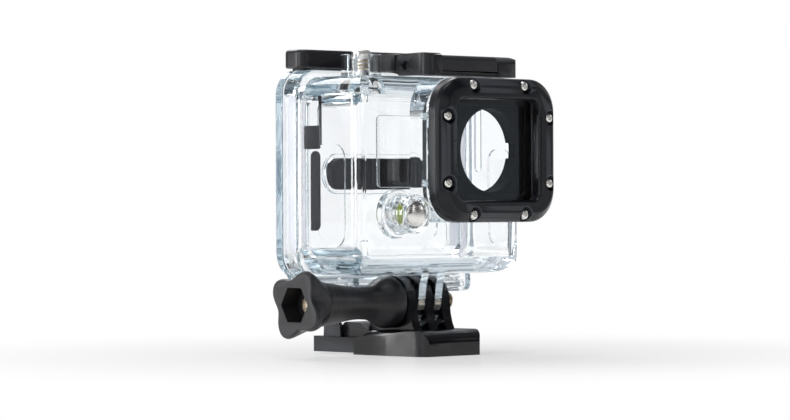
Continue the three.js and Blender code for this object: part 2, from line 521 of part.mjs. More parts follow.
function sealRing(axis, innerR, outerR, height) {
  const outside = turned(axis, [[0, outerR - 0.3], [0.3, outerR], [height - 0.3, outerR], [height, outerR - 0.3]], 16);
  return cut(outside, rod(axis, innerR, 0, 0, -1, height + 1, 12));
}

// ---- Assembly -----------------------------------------------------------------------------------

add('quick_release_buckle', buckle(), blackPlastic);
add('captive_nut', captiveNut(), steel);
add('thumb_knob', thumbKnob(), knobPlastic);
add('thumb_bolt', thumbBolt(), brass);

add('housing_front', housingFront(), clearPlastic);
add('back_door', backDoor(), clearPlastic);
add('door_seal', doorSeal(), sealRubber);
add('door_pad', prism('y', pill(0), PAD.front, SEAL.rear, { bevel: 0.4, arc: 5, rings: 1 }), padFoam);
add('pad_strip_left', wallPad(STRIP_LEFT), padFoam);
add('pad_block_left', wallPad(BLOCK_LEFT), padFoam);

add('lens_bezel', lensBezel(), bezelPlastic);
add('bezel_backing', bezelBacking(), blackPlastic);
add('lens_glass', prism('y', centred(GLASS.halfW, GLASS.halfH, 2.5), GLASS.front, GLASS.rear, { arc: 4 }), clearPlastic);
add('glass_gasket', glassGasket(), blackRubber);
add('lens_shroud', lensShroud(), blackPlastic);
SCREW_SPOTS.forEach(([dx, dz], i) => {
  add(`bezel_screw_${i + 1}`, bezelScrew(), steel, PORT.x + dx, SCREW.headFront, PORT.z + dz);
});

add('latch_base', latchBase(), blackPlastic);
add('latch_pin', rod('x', LATCH_PIN.r, LATCH_PIN.y, LATCH_PIN.z, EAR_X[0] + 0.5, 25.5, 16), steel);
add('latch_arm', latchArm(), blackPlastic);
add('latch_release', latchRelease(), blackPlastic);
add('release_spring', coil(0.95, 0.2, 8.4, 6).rotate([0, 90, 0]), steel, -5.3, -10.2, 79.2);

add('shutter_button', shutterButton(), steel);
add('shutter_spring', coil(1.9, 0.25, 3.3, 4), brass, SHUTTER.x, SHUTTER.y, 76.75);
add('shutter_seal', sealRing('z', 1.4, 2.4, 1.1), blackRubber, SHUTTER.x, SHUTTER.y, 71.2);
add('shutter_clip', retainingClip('z', 1.0, 2.2), steel, SHUTTER.x, SHUTTER.y, SHUTTER.tip + 1.35);
add('mode_button', modeButton(), steel);
add('mode_spring', coil(1.9, 0.25, 2.2, 3).rotate([90, 0, 0]), brass, MODE.x, -16.7, MODE.z);
add('mode_seal', sealRing('y', 1.5, 2.7, 1.4), limeSilicone, MODE.x, -16.6, MODE.z);
add('mode_clip', retainingClip('y', 1.05, 2.4), steel, MODE.x, -10.95, MODE.z);

export default model;
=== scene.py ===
"""Looks for a clear waterproof camera housing on a quick-release buckle, in the CAD part's own frame.

Lengths in the shape code are millimetres, and become metres when a mesh is made.
"""
import bpy
import bmesh
import math
from mathutils import Matrix, Vector


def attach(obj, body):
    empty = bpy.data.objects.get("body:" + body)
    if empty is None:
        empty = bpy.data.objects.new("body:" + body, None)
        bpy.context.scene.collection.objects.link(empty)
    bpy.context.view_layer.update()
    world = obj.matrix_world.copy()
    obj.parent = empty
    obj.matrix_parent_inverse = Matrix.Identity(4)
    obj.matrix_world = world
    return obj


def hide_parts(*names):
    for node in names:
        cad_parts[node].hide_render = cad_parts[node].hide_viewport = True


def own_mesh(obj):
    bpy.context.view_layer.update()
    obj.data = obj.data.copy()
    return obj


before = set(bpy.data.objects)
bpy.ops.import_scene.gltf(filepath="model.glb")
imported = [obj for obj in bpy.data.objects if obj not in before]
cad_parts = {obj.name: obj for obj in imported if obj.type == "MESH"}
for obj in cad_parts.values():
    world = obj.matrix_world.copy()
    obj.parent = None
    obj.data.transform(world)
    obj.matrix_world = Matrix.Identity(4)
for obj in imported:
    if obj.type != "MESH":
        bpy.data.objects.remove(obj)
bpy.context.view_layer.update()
MM = 0.001

# ---- Sizes shared with the CAD part -------------------------------------------------------------
PIVOT = (1.6, 14.42)                 # tilt axis: y, z
PORT = dict(x=9.5, z=55.5, half_w=22.4, half_h=19.5, corner=9.0)
OPENING = dict(x=8.85, z=55.53, half_w=15.75, half_h=13.6)
APERTURE = dict(x=10.76, z=55.6, r=11.3)
SHUTTER = (-18.5, 1.6)               # axis: x, y
MODE = (-18.8, 38.4)                 # axis: x, z
LATCH_PIN = (-4.5, 78.6)             # axis: y, z
RELEASE_AXIS = (-10.2, 79.2)         # axis of the release's spring: y, z
HINGE = (13.0, 18.6)                 # axis of the door: y, z
FLANGE = (-33.7, 33.7, 21, 77.5, 7, 10)
BOLT_HOLE = 2.8
SCREW_SPOTS = [(-9.8, 17.4), (9.8, 17.4), (19.45, 8.96), (19.45, -8.96),
               (9.8, -17.4), (-9.8, -17.4), (-19.45, -8.96), (-19.45, 8.96)]
SCREW_CENTRES = [(PORT["x"] + dx, PORT["z"] + dz) for dx, dz in SCREW_SPOTS]
VIEW_AZIMUTH = math.radians(-43.895)   # the photograph's direction of view


# ---- Meshes -------------------------------------------------------------------------------------
def rounded(x0, x1, z0, z1, radii, arc=8):
    """A rounded rectangle as a function of its inset; radii start at the bottom left and go anticlockwise."""
    corners = radii if isinstance(radii, tuple) else (radii,) * 4

    def outline(inset=0.0):
        points = []
        for i, (sx, sz) in enumerate(((0, 0), (1, 0), (1, 1), (0, 1))):
            r = max(corners[i] - inset, 0.06)
            cx = x1 - inset - r if sx else x0 + inset + r
            cz = z1 - inset - r if sz else z0 + inset + r
            for k in range(arc + 1):
                a = math.radians(180 + 90 * i + 90 * k / arc)
                points.append((cx + r * math.cos(a), cz + r * math.sin(a)))
        return points

    return outline


def disc(r, cx, cz, sides=48, start=0.0):
    """A circle or a regular polygon as a function of its inset."""
    def outline(inset=0.0):
        turn = [start + 2 * math.pi * i / sides for i in range(sides)]
        return [(cx + (r - inset) * math.cos(a), cz + (r - inset) * math.sin(a)) for a in turn]

    return outline


def arc_points(cx, cz, r, start, end, steps=8):
    turn = [math.radians(start + (end - start) * i / steps) for i in range(steps + 1)]
    return [(cx + r * math.cos(a), cz + r * math.sin(a)) for a in turn]


def in_space(axis, a, b, along):
    if axis == "x":
        return (along, a, b)
    if axis == "y":
        return (a, along, b)
    return (a, b, along)


def mesh_object(name, verts, faces):
    bm = bmesh.new()
    made = [bm.verts.new([c * MM for c in v]) for v in verts]
    for f in faces:
        bm.faces.new([made[i] for i in f])
    bmesh.ops.recalc_face_normals(bm, faces=bm.faces)
    mesh = bpy.data.meshes.new(name)
    bm.to_mesh(mesh)
    bm.free()
    obj = bpy.data.objects.new(name, mesh)
    bpy.context.scene.collection.objects.link(obj)
    return obj


def loft(axis, rings, looped=False):
    """A closed solid through rings of points, each (level along the axis, outline points)."""
    count = len(rings[0][1])
    verts = [in_space(axis, a, b, level) for level, points in rings for a, b in points]
    faces = []
    pairs = len(rings) if looped else len(rings) - 1
    for i in range(pairs):
        lo, hi = i * count, ((i + 1) % len(rings)) * count
        for k in range(count):
            n = (k + 1) % count
            faces.append((lo + k, lo + n, hi + n, hi + k))
    if not looped:
        faces += [tuple(range(count)), tuple(range(len(verts) - count, len(verts)))]
    return mesh_object("solid", verts, faces)


def edge_levels(start, end, r_start=0.0, r_end=0.0, steps=5):
    """(level, inset) pairs from start to end, with quarter-round edges."""
    levels = []
    for i in range(steps + 1 if r_start else 1):
        a = math.pi / 2 * i / steps
        levels.append((start + r_start * (1 - math.cos(a)), r_start * (1 - math.sin(a))))
    for i in range(steps + 1 if r_end else 1):
        a = math.pi / 2 * i / steps
        levels.append((end - r_end * (1 - math.sin(a)), r_end * (1 - math.cos(a))))
    return levels


def prism(axis, outline, start, end, r_start=0.0, r_end=0.0, steps=5):
    """A straight solid from start to end, with its two ends' edges rounded."""
    levels = edge_levels(start, end, r_start, r_end, steps)
    return loft(axis, [(level, outline(inset)) for level, inset in levels])


def polygon(axis, points, start, end):
    return loft(axis, [(start, points), (end, points)])


def box(x0, x1, y0, y1, z0, z1):
    return polygon("z", [(x0, y0), (x1, y0), (x1, y1), (x0, y1)], z0, z1)


def lathe(axis, profile, centre, sides=64, looped=False):
    """A turned solid from (level, radius) pairs. A looped profile makes a ring."""
    a, b = centre
    return loft(axis, [(level, disc(r, a, b, sides)()) for level, r in profile], looped)


def rod(axis, start, end, r, centre, sides=64):
    return lathe(axis, [(start, r), (end, r)], centre, sides)


def soft_profile(points, r=0.3, steps=4):
    """Rounds the inner corners of a (level, radius) profile."""
    out = [points[0]]
    for before, at, after in zip(points, points[1:], points[2:]):
        p, q, s = Vector(before), Vector(at), Vector(after)
        reach = min(r, (p - q).length * 0.45, (s - q).length * 0.45)
        one, two = q + (p - q).normalized() * reach, q + (s - q).normalized() * reach
        for k in range(steps + 1):
            t = k / steps
            out.append(tuple(one * (1 - t) ** 2 + q * 2 * t * (1 - t) + two * t * t))
    return out + [points[-1]]


def bake(obj):
    """Applies the modifiers to the mesh."""
    depsgraph = bpy.context.evaluated_depsgraph_get()
    mesh = bpy.data.meshes.new_from_object(obj.evaluated_get(depsgraph))
    obj.modifiers.clear()
    old = obj.data
    obj.data = mesh
    bpy.data.meshes.remove(old)


def combine(operation, base, tools):
    for tool in tools:
        step = base.modifiers.new("combine", "BOOLEAN")
        step.operation = operation
        step.solver = "EXACT"
        step.object = tool
        bake(base)
        bpy.data.objects.remove(tool)
    return base


def join(base, *others):
    return combine("UNION", base, others)


def carve(base, *tools):
    return combine("DIFFERENCE", base, tools)


def common(base, *tools):
    return combine("INTERSECT", base, tools)


def piece(obj, name, look, body, nodes=(), edge=0.0, angle=32):
    """Names a solid, softens its edges, gives it its material and ties it to its CAD body."""
    obj.name = name
    obj.data.name = name
    if edge:
        bevel = obj.modifiers.new("edges", "BEVEL")
        bevel.width = edge * MM
        bevel.segments = 2
        bevel.limit_method = "ANGLE"
        bevel.angle_limit = math.radians(angle)
        bake(obj)
    for face in obj.data.polygons:
        face.use_smooth = True
    obj.data.set_sharp_from_angle(angle=math.radians(angle + 6))
    normals = obj.modifiers.new("normals", "WEIGHTED_NORMAL")
    normals.keep_sharp = True
    obj.data.materials.clear()
    obj.data.materials.append(look)
    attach(obj, body)
    if nodes:
        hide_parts(*nodes)
    return obj


# ---- Materials ----------------------------------------------------------------------------------
def new_look(name):
    look = bpy.data.materials.new(name)
    look.use_nodes = True
    tree = look.node_tree
    return look, tree, tree.nodes["Principled BSDF"]


def node(tree, kind, **inputs):
    made = tree.nodes.new(kind)
    for key, value in inputs.items():
        made.inputs[key.replace("_", " ")].default_value = value
    return made


def grain(tree, scale, detail=3.0, stretch=(1, 1, 1)):
    """Noise in the object's own coordinates; scale is in features per metre."""
    place = tree.nodes.new("ShaderNodeTexCoord")
    mapping = node(tree, "ShaderNodeMapping", Scale=stretch)
    noise = node(tree, "ShaderNodeTexNoise", Scale=scale, Detail=detail)
    tree.links.new(place.outputs["Object"], mapping.inputs["Vector"])
    tree.links.new(mapping.outputs["Vector"], noise.inputs["Vector"])
    return noise.outputs["Fac"]


def spread(tree, source, low, high, from_low=0.3, from_high=0.7):
    made = node(tree, "ShaderNodeMapRange")
    for i, value in enumerate((from_low, from_high, low, high), start=1):
        made.inputs[i].default_value = value
    tree.links.new(source, made.inputs[0])
    return made.outputs[0]


def bump(tree, shader, source, strength, distance):
    made = node(tree, "ShaderNodeBump", Strength=strength, Distance=distance)
    tree.links.new(source, made.inputs["Height"])
    tree.links.new(made.outputs["Normal"], shader.inputs["Normal"])


def ramp(tree, source, stops):
    made = tree.nodes.new("ShaderNodeValToRGB")
    made.color_ramp.elements[0].position, made.color_ramp.elements[0].color = stops[0]
    made.color_ramp.elements[1].position, made.color_ramp.elements[1].color = stops[-1]
    for at, colour in stops[1:-1]:
        made.color_ramp.elements.new(at).color = colour
    tree.links.new(source, made.inputs["Fac"])
    return made.outputs["Color"]


def mix_colours(tree, factor, one, two, blend="MIX"):
    """Each of factor, one and two is an output socket or a plain value."""
    made = tree.nodes.new("ShaderNodeMix")
    made.data_type = "RGBA"
    made.blend_type = blend
    for at, value in ((0, factor), (6, one), (7, two)):
        if isinstance(value, bpy.types.NodeSocket):
            tree.links.new(value, made.inputs[at])
        else:
            made.inputs[at].default_value = value
    return made.outputs[2]


def mottled(tree, source, dark, light):
    return ramp(tree, source, [(0.3, (*dark, 1)), (0.7, (*light, 1))])


def moulded(name, dark, light, rough, texture=2600, depth=0.00003, strength=0.35, specular=0.5):
    """Moulded plastic: fine spark-eroded grain, slow changes of gloss, and paler worn edges."""
    look, tree, shader = new_look(name)
    shader.inputs["Specular IOR Level"].default_value = specular
    fine, slow = grain(tree, texture, 4), grain(tree, 160, 2)
    worn = tree.nodes.new("ShaderNodeNewGeometry").outputs["Pointiness"]
    base = mottled(tree, slow, dark, [c * 1.25 for c in dark])
    colour = mix_colours(tree, spread(tree, worn, 0.0, 1.0, 0.52, 0.62), base, (*light, 1))
    tree.links.new(colour, shader.inputs["Base Color"])
    tree.links.new(spread(tree, slow, rough - 0.05, rough + 0.06), shader.inputs["Roughness"])
    bump(tree, shader, fine, strength, depth)
    return look


def clear_plastic():
    look, tree, shader = new_look("clear_polycarbonate")
    shader.inputs["Transmission Weight"].default_value = 1.0
    shader.inputs["IOR"].default_value = 1.58
    shader.inputs["Base Color"].default_value = (0.994, 0.997, 0.999, 1)
    tree.links.new(spread(tree, grain(tree, 420, 3), 0.0, 0.035), shader.inputs["Roughness"])
    bump(tree, shader, grain(tree, 90, 2), 0.12, 0.0003)
    haze = node(tree, "ShaderNodeVolumeAbsorption", Color=(0.52, 0.69, 0.77, 1), Density=14.0)
    tree.links.new(haze.outputs["Volume"], tree.nodes["Material Output"].inputs["Volume"])
    return look


def port_glass():
    look, tree, shader = new_look("port_glass")
    shader.inputs["Transmission Weight"].default_value = 1.0
    shader.inputs["IOR"].default_value = 1.45
    shader.inputs["Base Color"].default_value = (0.97, 0.985, 0.99, 1)
    tree.links.new(spread(tree, grain(tree, 700, 2), 0.0, 0.015), shader.inputs["Roughness"])
    return look


def silicone(name, colour, rough, translucence, glow=0.0):
    look, tree, shader = new_look(name)
    # A glow above zero is emission in the silicone's own colour: painted light, as silicone is no lamp.
    shader.inputs["Emission Color"].default_value = (*colour, 1)
    shader.inputs["Emission Strength"].default_value = glow
    deep = tuple(c * 0.86 for c in colour)
    slow = grain(tree, 240, 3)
    tree.links.new(mottled(tree, slow, deep, colour), shader.inputs["Base Color"])
    tree.links.new(spread(tree, slow, rough - 0.06, rough + 0.06), shader.inputs["Roughness"])
    shader.inputs["Transmission Weight"].default_value = translucence
    bump(tree, shader, grain(tree, 1800, 3), 0.2, 0.00003)
    return look


def metal(name, colour, rough, stretch):
    """Turned or drawn metal, with fine lines across the stretch direction."""
    look, tree, shader = new_look(name)
    shader.inputs["Metallic"].default_value = 1.0
    lines = grain(tree, 900, 4, stretch)
    deep = tuple(c * 0.82 for c in colour)
    tree.links.new(mottled(tree, lines, deep, colour), shader.inputs["Base Color"])
    tree.links.new(spread(tree, lines, rough - 0.05, rough + 0.07), shader.inputs["Roughness"])
    bump(tree, shader, lines, 0.15, 0.00002)
    return look


def ribbed_pad():
    look, tree, shader = new_look("ribbed_pad")
    place = tree.nodes.new("ShaderNodeTexCoord")
    waves = node(tree, "ShaderNodeTexWave", Scale=420.0, Distortion=0.6, Detail=2.0)
    tree.links.new(place.outputs["Object"], waves.inputs["Vector"])
    shade = ramp(tree, waves.outputs["Fac"], [(0.0, (0.017, 0.014, 0.017, 1)),
                                              (1.0, (0.03, 0.026, 0.031, 1))])
    tree.links.new(shade, shader.inputs["Base Color"])
    tree.links.new(spread(tree, grain(tree, 900, 3), 0.72, 0.9), shader.inputs["Roughness"])
    bump(tree, shader, waves.outputs["Fac"], 0.3, 0.00006)
    return look


CLEAR = clear_plastic()
GLASS = port_glass()
BLACK = moulded("black_plastic", (0.0105, 0.011, 0.0135), (0.055, 0.058, 0.066), 0.33)
GLOSS_BLACK = moulded("gloss_black_plastic", (0.003, 0.0034, 0.0045), (0.04, 0.042, 0.05), 0.17,
                      1500, 0.00002, 0.12)
BEZEL = moulded("bezel_plastic", (0.004, 0.005, 0.0072), (0.045, 0.049, 0.059), 0.3,
                specular=0.34)
KNOB = moulded("knob_plastic", (0.009, 0.0092, 0.0112), (0.06, 0.062, 0.07), 0.38, 3200, 0.00004, 0.45)
HOOD = moulded("hood_plastic", (0.006, 0.006, 0.0065), (0.02, 0.02, 0.02), 0.6, 1800, 0.00003, 0.3, 0.06)
PAD = ribbed_pad()
# The seal glows at 0.3: painted light that brightens the white silicone beyond what the lamps give.
SEAL = silicone("seal_silicone", (0.93, 0.94, 0.98), 0.42, 0.2, 0.3)
RUBBER = moulded("black_rubber", (0.007, 0.007, 0.008), (0.02, 0.02, 0.022), 0.6, 1200, 0.00004, 0.4)
LIME = silicone("lime_silicone", (0.50, 0.66, 0.02), 0.4, 0.1)
STEEL = metal("stainless_steel", (0.9, 0.89, 0.86), 0.27, (1, 1, 8))
# Steel darkened to stand in for shade: painted shade in the latch pin's hole and in the release coil's recess.
STEEL_DARKENED_AS_SHADE = metal("steel_darkened_as_shade", (0.12, 0.12, 0.125), 0.35, (1, 1, 8))
SPRING = metal("spring_wire", (0.55, 0.40, 0.22), 0.3, (6, 6, 1))
BRONZE = metal("bronze_bolt", (0.66, 0.56, 0.42), 0.28, (8, 1, 1))


# ---- Quick-release buckle and thumb screw -------------------------------------------------------
def across(hand, inner, outer):
    """Start and end along x of something at that distance from the middle, on the left (-1) or right (1)."""
    return (-outer, -inner) if hand < 0 else (inner, outer)


def buckle():
    quarter = [math.pi / 2 * i / 8 for i in range(9)]
    nose = [(9.34 + 2.21 * math.sin(t), -15.1 + 5.8 * (1 - math.cos(t))) for t in quarter]
    nose += [(12.5, -1.2), (12.5, 11.5)]
    plan = nose + [(-x, y) for x, y in reversed(nose)]
    side = [(-15.1, 0), (11.5, 0), (11.5, 4.6), (8, 5.2), (6.4, 6.0), (4.6, 6.7), (2.6, 6.96), (1, 7)]
    side += arc_points(-11.6, 3.5, 3.5, 90, 180, 10)
    body = common(polygon("z", plan, 0, 12), polygon("x", side, -14, 14),
                  prism("y", rounded(-12.5, 12.5, 0, 7, (0.2, 0.2, 1.8, 1.8)), -20, 20))
    arm = [(9.5, 0.5), (27.5, 0.5), (27.5, 4.8), (9.5, 4.6)]
    tab = [(17.8, 4), (24.8, 4), (24.5, 7.6), (23.6, 8.6), (18.9, 8.6), (18, 7.6)]
    pad = [(23.3, 0.62), (27.46, 0.62), (27.46, 4.7), (23.3, 4.7)]
    hump = [(7, 0.5), (18.4, 0.5), (18.8, 7.6), (18.4, 8.4), (17.4, 8.8), (12, 8.6), (7, 6)]
    parts = []
    for hand in (-1, 1):
        parts += [polygon("x", arm, *across(hand, 10.2, 12.5)), polygon("x", tab, *across(hand, 10.1, 11.4)),
                  polygon("x", pad, *across(hand, 7.5, 12.46))]
    parts.append(polygon("x", hump, -9.7, 9.7))
    y, z = PIVOT
    prong = [(y - 9.5, 6), (y - 8.2, 8.6), (y - 7.5, 11.2)] + arc_points(y, z, 7.2, 180, 0, 32)
    prong += [(y + 7.5, 11.2), (y + 8.2, 8.6), (y + 9.0, 6)]
    for x in (-6.25, 0, 6.25):
        parts.append(polygon("x", prong, x - 1.5, x + 1.5))
    nut_pocket = prism("x", disc(4.95, *PIVOT, 6), 5.45, 9)
    return carve(join(body, *parts), rod("x", -9, 9, BOLT_HOLE, PIVOT), nut_pocket)


def knob():
    """Four broad lobes fade along the head into a round collar and neck. The outer end has a hex socket."""
    # Each station is its place along x, its mean radius, and how far its lobes stand out.
    stations = [
        (-43.2, 7.75, 1.3), (-43.05, 8.1, 1.4), (-42.7, 8.42, 1.5), (-42.2, 8.6, 1.52), (-41.5, 8.5, 1.45),
        (-40.0, 8.05, 1.15), (-38.0, 7.3, 0.65), (-36.5, 6.75, 0.28), (-35.8, 6.5, 0.16), (-35.5, 6.3, 0.1),
        (-35.4, 6.0, 0.0), (-35.0, 5.95, 0.0), (-33.4, 5.95, 0.0), (-33.1, 5.85, 0.0), (-32.9, 5.72, 0.0),
        (-30.0, 5.5, 0.0), (-27.5, 5.1, 0.0), (-25.0, 4.72, 0.0), (-22.4, 4.45, 0.0), (-20.0, 4.38, 0.0),
        (-17.2, 4.55, 0.0), (-15.2, 5.0, 0.0), (-13.4, 5.8, 0.0), (-12.2, 6.4, 0.0), (-11.2, 6.85, 0.0),
        (-10.2, 7.05, 0.0), (-8.6, 7.05, 0.0), (-8.1, 6.8, 0.0)]
    lobes, first_lobe, steps = 4, math.radians(31), 144
    turn = [2 * math.pi * i / steps for i in range(steps)]
    y, z = PIVOT
    rings = []
    for x, r, lobe in stations:
        radii = [r + lobe * math.cos(lobes * (a - first_lobe)) for a in turn]
        rings.append((x, [(y + q * math.cos(a), z + q * math.sin(a)) for q, a in zip(radii, turn)]))
    body = loft("x", rings)
    socket = disc(5.05, *PIVOT, 6)
    rim = loft("x", [(-43.6, socket(-0.5)), (-43.21, socket(-0.25)), (-42.9, socket(0))])
    return carve(body, prism("x", socket, -43.1, -37.5), rim, rod("x", -40, 0, BOLT_HOLE, PIVOT))


def bolt():
    """An M5 bolt that shows a few threads past the nut, drawn as rings at its 0.8 mm pitch."""
    pitch = 0.8
    groove = ((0, 2.5), (0.25, 2.2), (0.55, 2.2), (pitch, 2.5))
    profile = [(-38.4, 0.4), (-38.4, 2.2), (-38.1, 2.5)]
    profile += [(9.2 + pitch * i + step, r) for i in range(5) for step, r in groove]
    profile += [(13.7, 2.4), (14.1, 2.0), (14.35, 1.3), (14.4, 0.4)]
    return lathe("x", profile, PIVOT, 40)


piece(buckle(), "buckle_shell", GLOSS_BLACK, "buckle", ["quick_release_buckle"], 0.32)
piece(knob(), "knob_grip", KNOB, "thumb_screw", ["thumb_knob"], 0.0, 40)
piece(bolt(), "screw_shank", BRONZE, "thumb_screw", ["thumb_bolt"])
piece(carve(prism("x", disc(4.6, *PIVOT, 6), 5.75, 7.7), rod("x", 5, 9, BOLT_HOLE, PIVOT)),
      "hex_nut", STEEL, "buckle", ["captive_nut"], 0.15)


# ---- Clear shell --------------------------------------------------------------------------------
def port_outline(arc=12):
    x, z, half_w, half_h = PORT["x"], PORT["z"], PORT["half_w"], PORT["half_h"]
    return rounded(x - half_w, x + half_w, z - half_h, z + half_h, PORT["corner"], arc)


def shell():
    """Three outlines intersected, with the flange, bosses, prongs and hinge lugs joined on, then hollowed."""
    face = rounded(-32, 32, 22, 75.5, (6.5, 11, 6.5, 6.5), 10)()
    side = arc_points(-6.2, 70.3, 5.2, 90, 180, 14) + arc_points(-6.2, 27.2, 5.2, 180, 270, 14)
    side += [(12, 22), (12, 75.5)]
    plan = arc_points(-29, -8.4, 3.0, 180, 270, 10) + arc_points(25.5, -4.9, 6.5, 270, 360, 14)
    plan += [(32, 12), (-32, 12)]
    body = common(polygon("y", face, -11.4, 12), polygon("x", side, -33, 33), polygon("z", plan, 20, 80))
    flange = prism("y", rounded(*FLANGE), 10.5, 16.2, 1.1, 0.4)
    boss = prism("y", port_outline(10), -18.1, -7.5)
    frame_line = rounded(-25.4, -9.5, 45.4, 64.7, 1.5)
    window = prism("y", frame_line, -11.75, -11.0, 0.25, 0)
    window = carve(window, prism("y", lambda inset=0: frame_line(0.8 - inset), -13, -11.42, 0, 0))
    y, z = PIVOT
    prong = [(y - 9.2, 23.5), (y - 7.9, 19.4)] + arc_points(y, z, 7.2, 180, 360, 32)
    prong += [(y + 7.9, 19.4), (y + 9, 23.5)]
    prongs = [polygon("x", prong, x - 1.325, x + 1.325) for x in (-3.125, 3.125)]
    y, z = HINGE
    lug = [(y + 2.05, 22), (y - 2.05, 22)] + arc_points(y, z, 2.05, 180, 360, 12)
    lugs = [polygon("x", lug, x - 1.15, x + 1.15) for x in (-31.15, -12, 12, 31.15)]
    bar = rod("x", -31.3, 31.3, 1.0, HINGE, 24)
    guard = lathe("z", soft_profile([(74, 5.45), (81.4, 5.45), (81.4, 4.55), (76.5, 4.55)], 0.3)
                  + [(76.5, 0.3), (74, 0.3)], SHUTTER, 56)
    collar = lathe("z", soft_profile([(74, 3.35), (80.7, 3.35), (80.7, 0.3)], 0.25), SHUTTER, 48)
    slot = box(SHUTTER[0] - 8, SHUTTER[0] - 3.6, SHUTTER[1] - 2.6, SHUTTER[1] - 0.4, 76.7, 90)
    mode = lathe("y", soft_profile([(-20.4, 0.3), (-20.4, 4.95), (-19.6, 5.25), (-18.2, 5.3), (-17.6, 4.95),
                                    (-15.6, 4.95), (-15.0, 5.3), (-13.5, 5.3), (-13.2, 6.5), (-11.9, 6.5),
                                    (-10.6, 6.9), (-10.0, 0.3)], 0.35), MODE, 56)
    body = join(body, flange, boss, window, mode, bar, *prongs, *lugs)
    body = join(body, carve(guard, slot), collar)
    room = arc_points(-28.7, -8.2, 1.2, 180, 270, 6) + arc_points(25.1, -4.6, 4.8, 270, 360, 12)
    room += [(29.9, 30), (-29.9, 30)]
    cavity = common(prism("y", rounded(-29.9, 29.9, 26.6, 70.4, 4, 8), -9.4, 30),
                    polygon("z", room, 20, 80))
    land = prism("y", rounded(-31.2, 31.2, 24.6, 73.4, 5, 8), 11.1, 30)
    x, z = PORT["x"], PORT["z"]
    pocket = prism("y", rounded(x - 20, x + 19.4, z - 17, z + 14.4, 7), -15, -8.6)
    port = prism("y", rounded(x - 16.9, x + 15.6, z - 14, z + 14, 3), -30, -10)
    tools = [cavity, land, pocket, port]
    # Shallow hollows in the side walls: two round the left pads, two on the right.
    tools += [prism("x", rounded(-5.4, 12.0, 29.5, 57.2, 4.2), -30.7, -29.0),
              prism("x", rounded(4.1, 12.0, 50.0, 69.8, 2.6), -30.71, -29.01),
              prism("x", rounded(-6.5, 2.2, 29.5, 56.2, 3.0), 29.0, 30.7),
              prism("x", rounded(5.0, 7.4, 50.0, 69.8, 1.0), 29.0, 30.7)]
    tools += [rod("y", -19, -14.8, 1.0, at, 16) for at in SCREW_CENTRES]
    tools += [rod("z", 76.6, 90, 2.8, SHUTTER, 40), rod("z", 60, 80, 1.4, SHUTTER, 24),
              rod("z", 60, 72.6, 2.7, SHUTTER, 32)]
    tools += [rod("y", -30, -16.9, 3.95, MODE, 48), rod("y", -17.2, -13.6, 3.5, MODE, 40),
              rod("y", -30, -5, 1.5, MODE, 24), rod("y", -11, -5, 2.9, MODE, 32)]
    tools.append(rod("x", -9, 9, BOLT_HOLE, PIVOT, 40))
    body = carve(body, *tools)
    guides = [prism("y", rounded(-28.9, -27.4, 27.2, 31.6, (0.1, 0.1, 0.7, 0.7), 4), -9.8, -8.3, 0, 0.3, 3),
              prism("y", rounded(-28.9, -27.4, 67.9, 71.0, (0.7, 0.7, 0.1, 0.1), 4), -9.8, -8.3, 0, 0.3, 3)]
    return join(body, *guides)


def pill(grow):
    """The outline of the door's pad and of the rim round it."""
    return rounded(-17.6 - grow, 20 + grow, 45.1 - grow, 53.7 + grow, 4 + grow, 10)


def door():
    body = prism("y", rounded(*FLANGE), 16.5, 19.8, 0.5, 1.0)
    plug = carve(prism("y", rounded(-28.9, 28.9, 26.9, 71.1, 3.5), 11.7, 17, 0.4, 0),
                 prism("y", rounded(-27.3, 27.3, 28.5, 69.5, 2.2), 10, 16.52))
    rim = carve(prism("y", pill(1.2), 15.4, 17, 0.3, 0), prism("y", pill(0.35), 14, 16.52))
    y, z = HINGE
    web = [(y, z - 1.9), (15.8, z - 1.6), (18.2, 19.6), (19.4, 21.8), (16.6, 21.8), (16.6, z + 0.9),
           (y, z + 0.9)]
    clips = []
    for start, end in ((-29.7, -13.45), (-10.55, 10.55), (13.45, 29.7)):
        clip = join(rod("x", start, end, 2.05, HINGE, 28), polygon("x", web, start, end))
        clips.append(carve(clip, rod("x", start - 1, end + 1, 1.3, HINGE, 24),
                           box(start - 1, end + 1, y - 4, y, z - 3, z - 0.75)))
    body = join(body, plug, rim, *clips)
    body = carve(body, box(-26.6, 23.4, 15, 25, 76.6, 80))
    lower = prism("y", rounded(-20, 24, 31.4, 43.4, 3), 16.0, 17.1)
    upper = prism("y", rounded(-20, 24, 56.0, 69.3, 3), 16.0, 17.1)
    return carve(body, lower, upper)


piece(shell(), "clear_shell", CLEAR, "housing", ["housing_front"], 0.12, 30)
piece(door(), "clear_door", CLEAR, "back_door", ["back_door"], 0.12, 30)


def seal():
    outer = rounded(-30.9, 30.9, 25.7, 73.1, 4.7, 10)
    body = prism("y", outer, 11.4, 16.2, 0.5, 0.5)
    return carve(body, prism("y", rounded(-29.2, 29.2, 26.6, 71.4, 3.8, 10), 10, 18))


piece(seal(), "seal_ring", SEAL, "back_door", ["door_seal"])
piece(prism("y", pill(0), 13.6, 16.2, 0.5, 0.1), "pill_pad", PAD, "back_door", ["door_pad"])


def wall_pad(start, end, outline):
    return prism("x", outline, start, end, 0.1, 0.1, 2)


left_block = join(wall_pad(-30.25, -29.75, rounded(4.9, 11.0, 55.9, 62.2, 0.6)),
                  wall_pad(-30.24, -29.76, rounded(3.9, 5.2, 57.0, 70.0, 0.5)))
piece(left_block, "wall_pad_upper", PAD, "housing", ["pad_block_left"])
left_strip = wall_pad(-30.25, -29.75, rounded(4.9, 8.4, 34, 55.4, (1.7, 0.4, 1.7, 1.7)))
piece(left_strip, "wall_pad_left", PAD, "housing", ["pad_strip_left"])


# ---- Lens port ----------------------------------------------------------------------------------
def centred(half_w, half_h, r, arc=6):
    """A rounded rectangle round the middle of the bezel's opening."""
    x, z = OPENING["x"], OPENING["z"]
    return rounded(x - half_w, x + half_w, z - half_h, z + half_h, r, arc)


